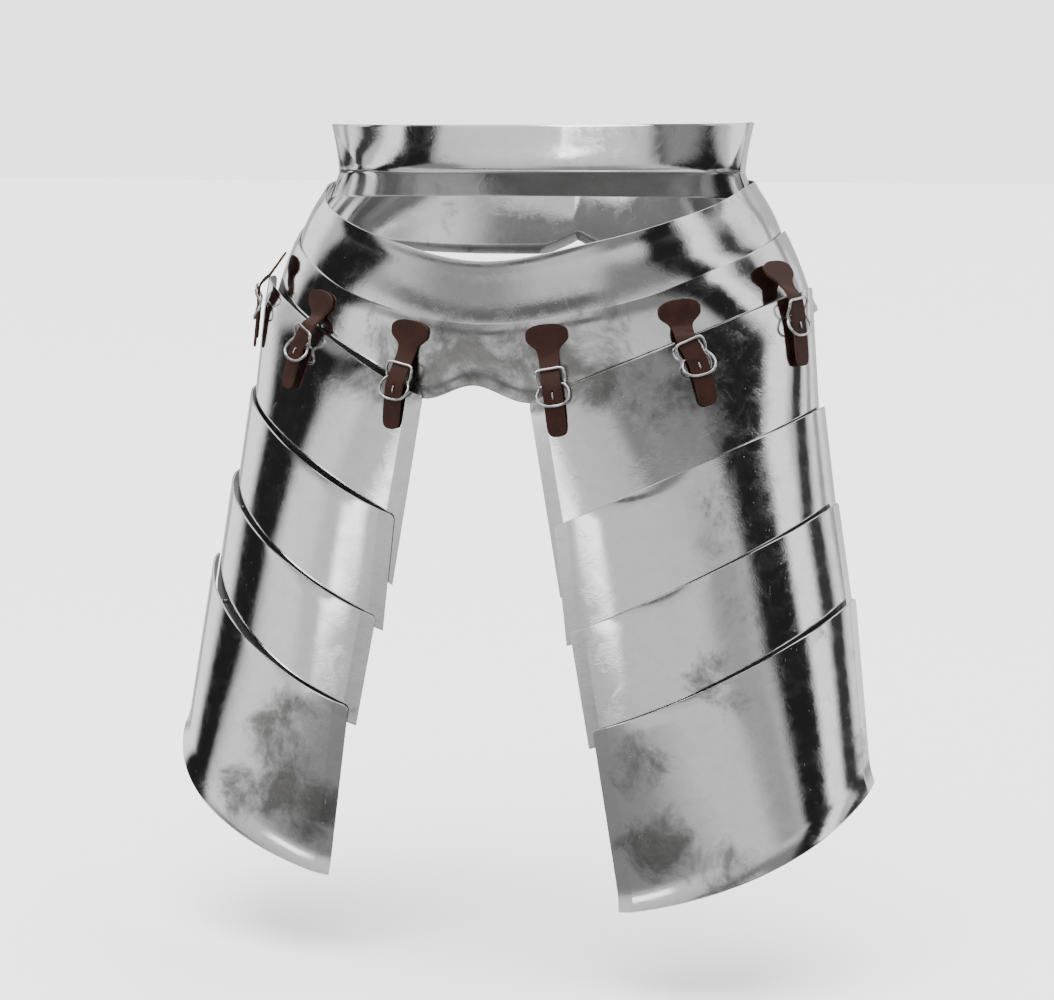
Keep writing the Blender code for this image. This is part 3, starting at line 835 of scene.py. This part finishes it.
def prong(word, strap, side, finish):
    _, across, _, _ = strap_frame(strap, CENTRE_BAR_AT)
    across = Vector((across.x * side, across.y, across.z))
    path = smooth_path([Vector((*place, 0.0)) for place in PRONG_PATH], PRONG_STEPS, closed=False)
    points = [on_strap(strap, side, 0.0, CENTRE_BAR_AT + p.x, p.y) for p in path]
    radii = [PRONG_RADIUS] * len(points)
    for k, share in enumerate(PRONG_POINT):
        radii[-1 - k] = PRONG_RADIUS * share
    name = f"{word}_{strap}_prong"
    made, faces = rod(points, radii, PRONG_SIDES, across)
    solid(name, made, faces, finish, "wire_steel", name)


def pale_floor():
    made = bpy.data.materials.new("pale_floor")
    made.use_nodes = True
    shader = made.node_tree.nodes["Principled BSDF"]
    shader.inputs["Base Color"].default_value = grey(0.8)
    shader.inputs["Roughness"].default_value = 0.7
    return made


def calc(tree, operation, *values):
    """The result of one Math node, whose inputs are numbers or other results."""
    node = tree.nodes.new("ShaderNodeMath")
    node.operation = operation
    for socket, value in zip(node.inputs, values):
        connect(tree, value, socket)
    return node.outputs["Value"]


def connect(tree, value, socket):
    if isinstance(value, bpy.types.NodeSocket):
        tree.links.new(value, socket)
    else:
        socket.default_value = value


def remap(tree, value, low, high, new_low=0.0, new_high=1.0, smooth=True):
    node = tree.nodes.new("ShaderNodeMapRange")
    node.interpolation_type = "SMOOTHSTEP" if smooth else "LINEAR"
    node.clamp = True
    for name, given in (
        ("Value", value),
        ("From Min", low),
        ("From Max", high),
        ("To Min", new_low),
        ("To Max", new_high),
    ):
        connect(tree, given, node.inputs[name])
    return node.outputs["Result"]


def noise(tree, coords, scale, detail, roughness, distortion=0.0):
    node = tree.nodes.new("ShaderNodeTexNoise")
    tree.links.new(coords, node.inputs["Vector"])
    node.inputs["Scale"].default_value = scale
    node.inputs["Detail"].default_value = detail
    node.inputs["Roughness"].default_value = roughness
    node.inputs["Distortion"].default_value = distortion
    return node.outputs["Fac"]


def stretched(tree, coords, turn, scale):
    """The coordinates turned and then scaled, which draws a texture out into streaks."""
    node = tree.nodes.new("ShaderNodeMapping")
    tree.links.new(coords, node.inputs["Vector"])
    node.inputs["Rotation"].default_value = [math.radians(angle) for angle in turn]
    node.inputs["Scale"].default_value = scale
    return node.outputs["Vector"]


def mix_colours(tree, share, first, second):
    node = tree.nodes.new("ShaderNodeMix")
    node.data_type = "RGBA"
    connect(tree, share, node.inputs[MIX_SHARE])
    connect(tree, first, node.inputs[MIX_FIRST])
    connect(tree, second, node.inputs[MIX_SECOND])
    return node.outputs[MIX_COLOUR]


def bump(tree, height, depth, normal=None):
    """A bump whose height runs from 0 to 1 over this depth in millimetres."""
    node = tree.nodes.new("ShaderNodeBump")
    node.inputs["Strength"].default_value = 1.0
    node.inputs["Distance"].default_value = depth * MM
    connect(tree, height, node.inputs["Height"])
    if normal is not None:
        tree.links.new(normal, node.inputs["Normal"])
    return node.outputs["Normal"]


def grey(value):
    return (value, value, value, 1.0)


def finish_material(name):
    made = bpy.data.materials.new(name)
    made.use_nodes = True
    tree = made.node_tree
    coords = tree.nodes.new("ShaderNodeTexCoord").outputs["Object"]
    return made, tree, tree.nodes["Principled BSDF"], coords


def specks(tree, coords, scale, size, share):
    """Small scattered dots: 1 on a dot and 0 between them."""
    node = tree.nodes.new("ShaderNodeTexVoronoi")
    tree.links.new(coords, node.inputs["Vector"])
    node.inputs["Scale"].default_value = scale
    dot = remap(tree, node.outputs["Distance"], size * 0.6, size, 1.0, 0.0)
    separate = tree.nodes.new("ShaderNodeSeparateColor")
    tree.links.new(node.outputs["Color"], separate.inputs["Color"])
    chosen = calc(tree, "LESS_THAN", separate.outputs["Red"], share)
    return calc(tree, "MULTIPLY", dot, chosen)


def scratches(tree, coords, turn, density, threshold):
    """Short fine scratches along one direction: 1 on a scratch and 0 between them."""
    drawn_out = stretched(tree, coords, turn, (density, density, density * SCRATCH_STRETCH))
    streaks = noise(tree, drawn_out, 1.0, 2.0, 0.5)
    return remap(tree, streaks, threshold, threshold + SCRATCH_EDGE)


def waist_haze_and_shade(tree, coords):
    """1 low on the front of the hoops and 0 away from it: painted shade that darkens the polish
    there, which is also duller.
    """
    place = tree.nodes.new("ShaderNodeSeparateXYZ")
    tree.links.new(coords, place.inputs["Vector"])
    near_front = remap(tree, place.outputs["Y"], *(y * MM for y in HAZE_AND_SHADE_FRONT))
    below_rim = remap(tree, place.outputs["Z"], *(z * MM for z in HAZE_AND_SHADE_BELOW_RIM))
    above_foot = remap(tree, place.outputs["Z"], *(z * MM for z in HAZE_AND_SHADE_ABOVE_FOOT))
    return calc(tree, "MULTIPLY", near_front, calc(tree, "MULTIPLY", below_rim, above_foot))


def stains_and_shade(tree, coords):
    """How dark the nearest patch makes the plate, as clouding and painted shade: 0 well away from
    all of them.
    """
    deepest = 0.0
    for _, x, y, z, reach, depth in STAINS_AND_SHADE:
        offset = tree.nodes.new("ShaderNodeVectorMath")
        offset.operation = "DISTANCE"
        tree.links.new(coords, offset.inputs[0])
        offset.inputs[1].default_value = Vector((x, y, z)) * MM
        outer = reach * MM * DARK_PATCH_ENDS
        inner = reach * MM * DARK_PATCH_DEEPEST
        dark_patch = remap(tree, offset.outputs["Value"], outer, inner, 0.0, depth)
        deepest = calc(tree, "MAXIMUM", deepest, dark_patch)
    return deepest


def polished_steel():
    """Mirror-polished plate with clouds of tarnish, smudged patches, scratches and specks, and
    painted shade that darkens the front of the hoops and some placed patches.
    """
    made, tree, shader, coords = finish_material("polished_steel")
    clouds = noise(tree, coords, 24.0, 8.0, 0.66, 0.4)
    patches_and_shade = remap(tree, noise(tree, coords, 7.5, 3.0, 0.5, 0.4), 0.46, 0.68, 0.0, 0.5)
    # Painted shade, with duller polish, low on the front of the hoops.
    patches_and_shade = calc(tree, "MAXIMUM", patches_and_shade, waist_haze_and_shade(tree, coords))
    # Placed dark patches: partly clouding of the polish, partly painted shade.
    patches_and_shade = calc(tree, "MAXIMUM", patches_and_shade, stains_and_shade(tree, coords))
    clear = calc(tree, "MULTIPLY_ADD", patches_and_shade, -0.42, 0.70)
    cloudy = calc(tree, "MULTIPLY_ADD", patches_and_shade, -0.31, 0.88)
    tarnish_and_shade = remap(tree, clouds, clear, cloudy)
    smudge = remap(tree, noise(tree, coords, 55.0, 6.0, 0.7, 0.6), 0.42, 0.64)
    film = remap(tree, noise(tree, coords, 90.0, 6.0, 0.7, 0.8), 0.35, 0.75)
    fine = calc(
        tree,
        "MAXIMUM",
        scratches(tree, coords, (20, 35, 0), 900.0, 0.74),
        scratches(tree, coords, (-40, 60, 30), 1100.0, 0.75),
    )
    dots = calc(
        tree,
        "MAXIMUM",
        specks(tree, coords, 420.0, 0.17, 0.02),
        specks(tree, coords, 170.0, 0.09, 0.06),
    )
    fine = calc(tree, "MULTIPLY", fine, 0.5)
    marks = calc(tree, "MAXIMUM", fine, calc(tree, "MULTIPLY", dots, 0.8))
    # Tarnish colour: real clouds, plus the painted shade of the waist and of the dark patches.
    clean = mix_colours(tree, tarnish_and_shade, grey(0.80), (0.22, 0.216, 0.212, 1.0))
    filmed = mix_colours(tree, calc(tree, "MULTIPLY", film, 0.22), clean, grey(0.52))
    tree.links.new(mix_colours(tree, marks, filmed, grey(0.9)), shader.inputs["Base Color"])
    shader.inputs["Metallic"].default_value = 1.0
    rough = calc(tree, "MULTIPLY_ADD", tarnish_and_shade, 0.16, 0.07)
    rough = calc(tree, "MULTIPLY_ADD", smudge, 0.06, rough)
    rough = calc(tree, "MULTIPLY_ADD", marks, 0.3, rough)
    tree.links.new(rough, shader.inputs["Roughness"])
    waves = noise(tree, coords, 14.0, 1.0, 0.5)
    normal = bump(tree, waves, 0.3)
    grain = noise(tree, coords, 850.0, 2.0, 0.6)
    frost = calc(tree, "MULTIPLY", grain, calc(tree, "MULTIPLY_ADD", smudge, 0.9, 0.1))
    normal = bump(tree, frost, 0.034, normal)
    normal = bump(tree, marks, 0.01, normal)
    tree.links.new(normal, shader.inputs["Normal"])
    return made


def satin_steel():
    """The unpolished inner side of a plate: darker, with the marks of grinding. Its dark grey is
    partly painted shade, kept dark so that the gaps between plates read black.
    """
    made, tree, shader, coords = finish_material("satin_steel")
    clouds = noise(tree, coords, 30.0, 6.0, 0.6, 0.5)
    share = remap(tree, clouds, 0.3, 0.75)
    # Dark grey, partly painted shade that makes the gaps between plates read black.
    colour = mix_colours(tree, share, grey(0.34), (0.24, 0.235, 0.23, 1.0))
    tree.links.new(colour, shader.inputs["Base Color"])
    shader.inputs["Metallic"].default_value = 1.0
    drawn_out = stretched(tree, coords, (0, 0, 0), (120.0, 120.0, 1500.0))
    grinding = noise(tree, drawn_out, 1.0, 3.0, 0.6)
    rough = calc(tree, "MULTIPLY_ADD", clouds, 0.2, 0.26)
    tree.links.new(rough, shader.inputs["Roughness"])
    tree.links.new(bump(tree, grinding, 0.03), shader.inputs["Normal"])
    return made


def wire_steel():
    made, tree, shader, coords = finish_material("wire_steel")
    wear = noise(tree, coords, 180.0, 5.0, 0.6)
    share = remap(tree, wear, 0.4, 0.7)
    colour = mix_colours(tree, share, grey(0.74), (0.45, 0.44, 0.42, 1.0))
    tree.links.new(colour, shader.inputs["Base Color"])
    shader.inputs["Metallic"].default_value = 1.0
    tree.links.new(remap(tree, wear, 0.35, 0.75, 0.07, 0.24), shader.inputs["Roughness"])
    tree.links.new(bump(tree, noise(tree, coords, 900.0, 2.0, 0.5), 0.02), shader.inputs["Normal"])
    return made


def brown_leather(name, dark, light, rough):
    """Smooth dyed leather between two tones, with pores, fine creases and uneven dye."""
    made, tree, shader, coords = finish_material(name)
    grain = tree.nodes.new("ShaderNodeTexVoronoi")
    tree.links.new(coords, grain.inputs["Vector"])
    grain.inputs["Scale"].default_value = 1100.0
    pores = grain.outputs["Distance"]
    shade = noise(tree, coords, 90.0, 4.0, 0.6)
    colour = mix_colours(tree, remap(tree, shade, 0.3, 0.7), dark, light)
    in_pore = remap(tree, pores, 0.25, 0.0, 0.0, 0.4)
    colour = mix_colours(tree, in_pore, colour, (0.02, 0.007, 0.004, 1.0))
    tree.links.new(colour, shader.inputs["Base Color"])
    tree.links.new(remap(tree, shade, 0.3, 0.7, rough, rough + 0.2), shader.inputs["Roughness"])
    shader.inputs["Specular IOR Level"].default_value = 0.25
    drawn_out = stretched(tree, coords, (0, 0, 0), (160.0, 160.0, 420.0))
    creases = noise(tree, drawn_out, 1.0, 4.0, 0.6)
    normal = bump(tree, creases, 0.10)
    tree.links.new(bump(tree, pores, 0.05, normal), shader.inputs["Normal"])
    return made


def studio():
    """The surroundings: soft panels and dark flags between them, behind a plain backdrop."""
    world = bpy.data.worlds.new("studio")
    world.use_nodes = True
    tree = world.node_tree
    direction = tree.nodes.new("ShaderNodeTexCoord").outputs["Generated"]
    parts = tree.nodes.new("ShaderNodeSeparateXYZ")
    tree.links.new(direction, parts.inputs["Vector"])
    ahead = calc(tree, "MULTIPLY", parts.outputs["Y"], -1.0)
    azimuth = calc(tree, "DEGREES", calc(tree, "ARCTAN2", parts.outputs["X"], ahead))
    elevation = calc(tree, "DEGREES", calc(tree, "ARCSINE", parts.outputs["Z"]))
    ramp = tree.nodes.new("ShaderNodeValToRGB")
    ramp.color_ramp.interpolation = "EASE"
    lowest, highest = SKY[0][0], SKY[-1][0]
    stops = ramp.color_ramp.elements
    stops[0].color = grey(SKY[0][1])
    stops[-1].color = grey(SKY[-1][1])
    for height, brightness in SKY[1:-1]:
        stop = stops.new((height - lowest) / (highest - lowest))
        stop.color = grey(brightness)
    tree.links.new(remap(tree, elevation, lowest, highest, smooth=False), ramp.inputs["Fac"])
    light = ramp.outputs["Color"]
    for _, centre, slant, start, half_width, height, half_height, softness, strength in PANELS:
        level = calc(tree, "MINIMUM", calc(tree, "MAXIMUM", elevation, start), LEAN_ENDS)
        middle = calc(tree, "MULTIPLY_ADD", calc(tree, "SUBTRACT", level, start), slant, centre)
        off = calc(tree, "WRAP", calc(tree, "SUBTRACT", azimuth, middle), 180.0, -180.0)
        across = calc(tree, "DIVIDE", calc(tree, "ABSOLUTE", off), half_width)
        above = calc(tree, "SUBTRACT", elevation, height)
        up = calc(tree, "DIVIDE", calc(tree, "ABSOLUTE", above), half_height)
        inside = calc(
            tree,
            "MULTIPLY",
            remap(tree, across, 1 - softness, 1 + softness, 1.0, 0.0),
            remap(tree, up, 1 - softness, 1 + softness, 1.0, 0.0),
        )
        light = mix_colours(tree, inside, light, grey(strength))
    room = tree.nodes["Background"]
    tree.links.new(light, room.inputs["Color"])
    plain = tree.nodes.new("ShaderNodeBackground")
    plain.inputs["Color"].default_value = grey(BACKDROP)
    both = tree.nodes.new("ShaderNodeMixShader")
    seen = tree.nodes.new("ShaderNodeLightPath").outputs["Is Camera Ray"]
    tree.links.new(seen, both.inputs["Fac"])
    tree.links.new(room.outputs["Background"], both.inputs[1])
    tree.links.new(plain.outputs["Background"], both.inputs[2])
    tree.links.new(both.outputs["Shader"], tree.nodes["World Output"].inputs["Surface"])
    bpy.context.scene.world = world


def camera():
    data = bpy.data.cameras.new("camera")
    data.lens = CAMERA_LENS
    data.sensor_fit = "HORIZONTAL"
    data.sensor_width = 36.0
    data.clip_start = 0.05
    data.clip_end = 50.0
    made = bpy.data.objects.new("camera", data)
    made.location = Vector(CAMERA_AT) * MM
    made.rotation_euler = (
        math.radians(90 - CAMERA_ELEVATION),
        0.0,
        math.radians(CAMERA_AZIMUTH),
    )
    bpy.context.scene.collection.objects.link(made)
    bpy.context.scene.camera = made


def key_light():
    data = bpy.data.lights.new("key", "AREA")
    data.shape = "RECTANGLE"
    data.size, data.size_y = KEY_LIGHT["size"]
    data.energy = KEY_LIGHT["power"]
    made = bpy.data.objects.new("key", data)
    made.location = Vector(KEY_LIGHT["place"])
    towards = Vector(KEY_LIGHT["target"]) - made.location
    made.rotation_euler = towards.to_track_quat("-Z", "Y").to_euler()
    bpy.context.scene.collection.objects.link(made)


def floor():
    """A plain floor with its own sun. The steel neither mirrors it nor takes light from it."""
    data = bpy.data.meshes.new("floor")
    half = FLOOR_HALF_WIDTH
    corners = [(-half, -half), (half, -half), (half, half), (-half, half)]
    data.from_pydata([(x, y, FLOOR_HEIGHT * MM) for x, y in corners], [], [(0, 1, 2, 3)])
    data.materials.append(pale_floor())
    made = bpy.data.objects.new("floor", data)
    bpy.context.scene.collection.objects.link(made)
    made.visible_glossy = False
    made.visible_diffuse = False
    data = bpy.data.lights.new("floor_sun", "SUN")
    data.energy = FLOOR_SUN
    data.angle = math.radians(FLOOR_SUN_SPREAD)
    sun = bpy.data.objects.new("floor_sun", data)
    bpy.context.scene.collection.objects.link(sun)
    lit = bpy.data.collections.new("lit_by_floor_sun")
    lit.objects.link(made)
    sun.light_linking.receiver_collection = lit


def finish_hidden_parts(frame, steel, leather):
    """Gives every solid a finish. Only posts and the buckles' leathers are left to show."""
    for name, node in frame["nodes"].items():
        finish = leather if name.endswith("chape") else steel
        node.data.materials.clear()
        node.data.materials.append(finish)


def main():
    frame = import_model()
    polished = polished_steel()
    satin = satin_steel()
    wire = wire_steel()
    leather = brown_leather("brown_leather", *FACE_DYE)
    cut_edge = brown_leather("leather_edge", *EDGE_DYE)
    finish_hidden_parts(frame, satin, leather)
    back_collar((polished, polished))
    waist_hoop((polished, polished))
    hip_apron((polished, satin))
    for word, side in (("right", -1), ("left", 1)):
        for number in LAMES:
            lame(word, number, side, (polished, satin))
        for strap in STRAPS:
            leather_strap(word, strap, side, (leather, cut_edge))
            buckle(word, strap, side, wire)
            prong(word, strap, side, wire)
    floor()
    studio()
    key_light()
    camera()


main()
